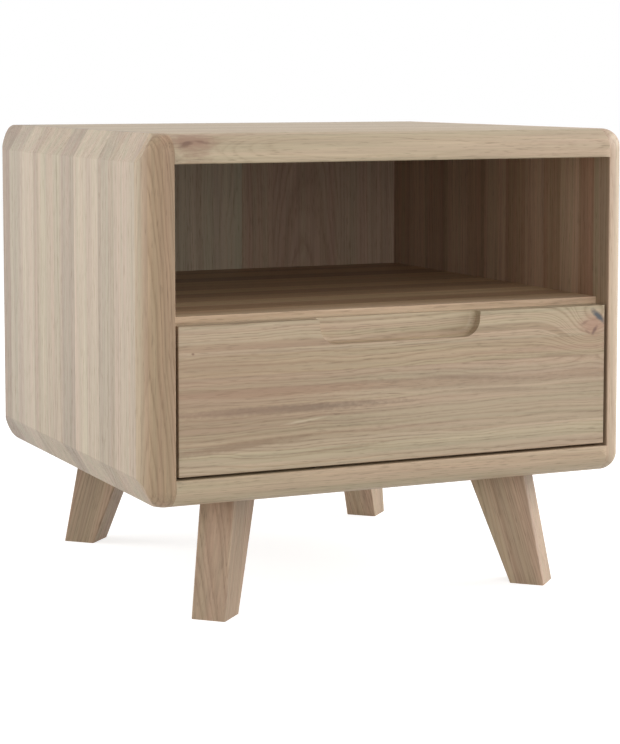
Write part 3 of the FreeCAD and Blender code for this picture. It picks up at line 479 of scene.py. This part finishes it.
def metal(name, colour, roughness):
    """Bare metal that turns a little darker or paler, and duller or brighter, along its scratches."""
    darkest, palest = 0.85, 1.1
    smoothest, dullest = 0.8 * roughness, 1.3 * roughness
    material = bpy.data.materials.new(name)
    material.use_nodes = True
    tree = material.node_tree
    tree.nodes.clear()
    place = add(tree, "TexCoord").outputs["Object"]
    grain = add(tree, "VectorMath", {0: place, 1: SCRATCHES_A_METRE}, operation="MULTIPLY").outputs[0]
    scratch = add(tree, "TexNoise", {"Vector": grain, "Scale": 1.0, "Detail": 3.0}).outputs[0]
    tone = add(tree, "MapRange", {"Value": scratch, "To Min": darkest, "To Max": palest}).outputs[0]
    body = add(tree, "VectorMath", {0: linear(colour)[:3], "Scale": tone}, operation="SCALE").outputs[0]
    rough = add(tree, "MapRange", {"Value": scratch, "To Min": smoothest, "To Max": dullest}).outputs[0]
    surface = add(tree, "BsdfPrincipled", {"Base Color": body, "Roughness": rough, "Metallic": 1.0})
    output = add(tree, "OutputMaterial")
    tree.links.new(surface.outputs[0], output.inputs["Surface"])
    return material


# Bright zinc: a cool grey with a soft sheen.
finish(metal("bright_zinc_steel", "#B4B6B5", 0.3), "slide_outer_member_left", "slide_outer_member_right",
       "slide_inner_member_left", "slide_inner_member_right", "ball_cage_left", "ball_cage_right",
       "slide_cabinet_screws", "slide_drawer_screws", "drawer_front_screws", "back_panel_pins",
       "leg_hanger_bolts")
# Ground and polished balls, nearly mirror-bright.
finish(metal("polished_bearing_steel", "#C8CACB", 0.08), "cage_balls_left", "cage_balls_right")
# Turned brass: warm yellow, with the lathe's fine sheen.
finish(metal("turned_brass", "#B6934E", 0.25), "leg_threaded_inserts")

# ------------------------------------------------------------------ drawer bumpers
# Two small clear pads of soft polyurethane rubber, stuck on the shelf's front edge so that the
# drawer front closes on them quietly. They are hazy, with a soft highlight.

rubber = bpy.data.materials.new("clear_soft_rubber")
rubber.use_nodes = True
tree = rubber.node_tree
tree.nodes.clear()
place = add(tree, "TexCoord").outputs["Object"]
HAZE_SPOTS_A_METRE = 900.0
haze = add(tree, "TexNoise", {"Vector": place, "Scale": HAZE_SPOTS_A_METRE, "Detail": 2.0}).outputs[0]
rough = add(tree, "MapRange", {"Value": haze, "To Min": 0.22, "To Max": 0.4}).outputs[0]
tint = add(tree, "MixRGB", {0: haze, 1: linear("#DADBD4"), 2: linear("#EDEEE8")}).outputs[0]
soft = add(tree, "BsdfPrincipled", {"Base Color": tint, "Roughness": rough, "IOR": 1.49,
                                    "Transmission Weight": 0.75})
output = add(tree, "OutputMaterial")
tree.links.new(soft.outputs[0], output.inputs["Surface"])
finish(rubber, "drawer_bumpers")

# ------------------------------------------------------------------ floor and surroundings
# A plain matt floor in a plain white room. Seen directly, through rubber or in metal, both are
# white; on the wood they throw only a plain soft light, and the floor keeps the shadow.

FLOOR_LIFT = 0.76
ROOM_LIGHT = 0.35
bpy.ops.mesh.primitive_plane_add(size=12)
floor = bpy.context.object
floor.name = "floor"
paint = bpy.data.materials.new("matt_white_floor")
paint.use_nodes = True
world = bpy.data.worlds.new("studio")
bpy.context.scene.world = world
world.use_nodes = True
for tree in (paint.node_tree, world.node_tree):
    tree.nodes.clear()
    path = add(tree, "LightPath")
    seen = path.outputs["Is Camera Ray"]
    for kind in ("Is Glossy Ray", "Is Transmission Ray"):
        seen = add(tree, "Math", {0: seen, 1: path.outputs[kind]}, operation="MAXIMUM").outputs[0]
    if tree == paint.node_tree:
        plain = add(tree, "BsdfDiffuse", {"Color": linear("#C8C8C8")})
        glow = add(tree, "Emission", {"Color": (1, 1, 1, 1), "Strength": FLOOR_LIFT})
        white = add(tree, "AddShader", {0: plain.outputs[0], 1: glow.outputs[0]})
        output = add(tree, "OutputMaterial")
    else:
        plain = add(tree, "Background", {"Color": (1, 1, 1, 1), "Strength": ROOM_LIGHT})
        white = add(tree, "Background", {"Color": (1, 1, 1, 1), "Strength": 1.0})
        output = add(tree, "OutputWorld")
    mixed = add(tree, "MixShader", {0: seen, 1: plain.outputs[0], 2: white.outputs[0]})
    tree.links.new(mixed.outputs[0], output.inputs["Surface"])
floor.data.materials.append(paint)

# ------------------------------------------------------------------ lamps
# Four soft boxes turned to the middle of the cabinet. The two big ones light its sides, and the
# two in front only fill it, so that the niche stays dim.

AIM = Vector((0, 0, 0.25))
for name, spot, wide, tall, watts in (("softbox_right", (2.4, -0.3, 1.3), 2.0, 2.0, 63),
                                      ("softbox_rear_left", (-2.2, 1.4, 0.9), 1.6, 1.6, 52),
                                      ("softbox_front_high", (0.2, -2.7, 1.8), 2.6, 1.6, 20),
                                      ("softbox_front_low", (-0.4, -3.2, 0.6), 1.4, 1.4, 17)):
    lamp = bpy.data.lights.new(name, "AREA")
    lamp.shape, lamp.size, lamp.size_y, lamp.energy = "RECTANGLE", wide, tall, watts
    holder = bpy.data.objects.new(name, lamp)
    holder.location = spot
    holder.rotation_euler = (AIM - Vector(spot)).to_track_quat("-Z", "Y").to_euler()
    bpy.context.scene.collection.objects.link(holder)

# ------------------------------------------------------------------ camera
# It stands to the left in front of the cabinet, a little above its top, and looks slightly down.

DOWN, TURNED = math.radians(4.776), math.radians(24.798)
camera = bpy.data.objects.new("camera", bpy.data.cameras.new("camera"))
camera.data.lens = 103.04
camera.data.sensor_width = 36.0
camera.data.shift_y = -0.15
camera.location = (-0.8057, -1.7692, 0.44)
camera.rotation_euler = (math.radians(90) - DOWN, 0.0, -TURNED)
bpy.context.scene.collection.objects.link(camera)
bpy.context.scene.camera = camera
bpy.context.scene.view_settings.view_transform = "Standard"
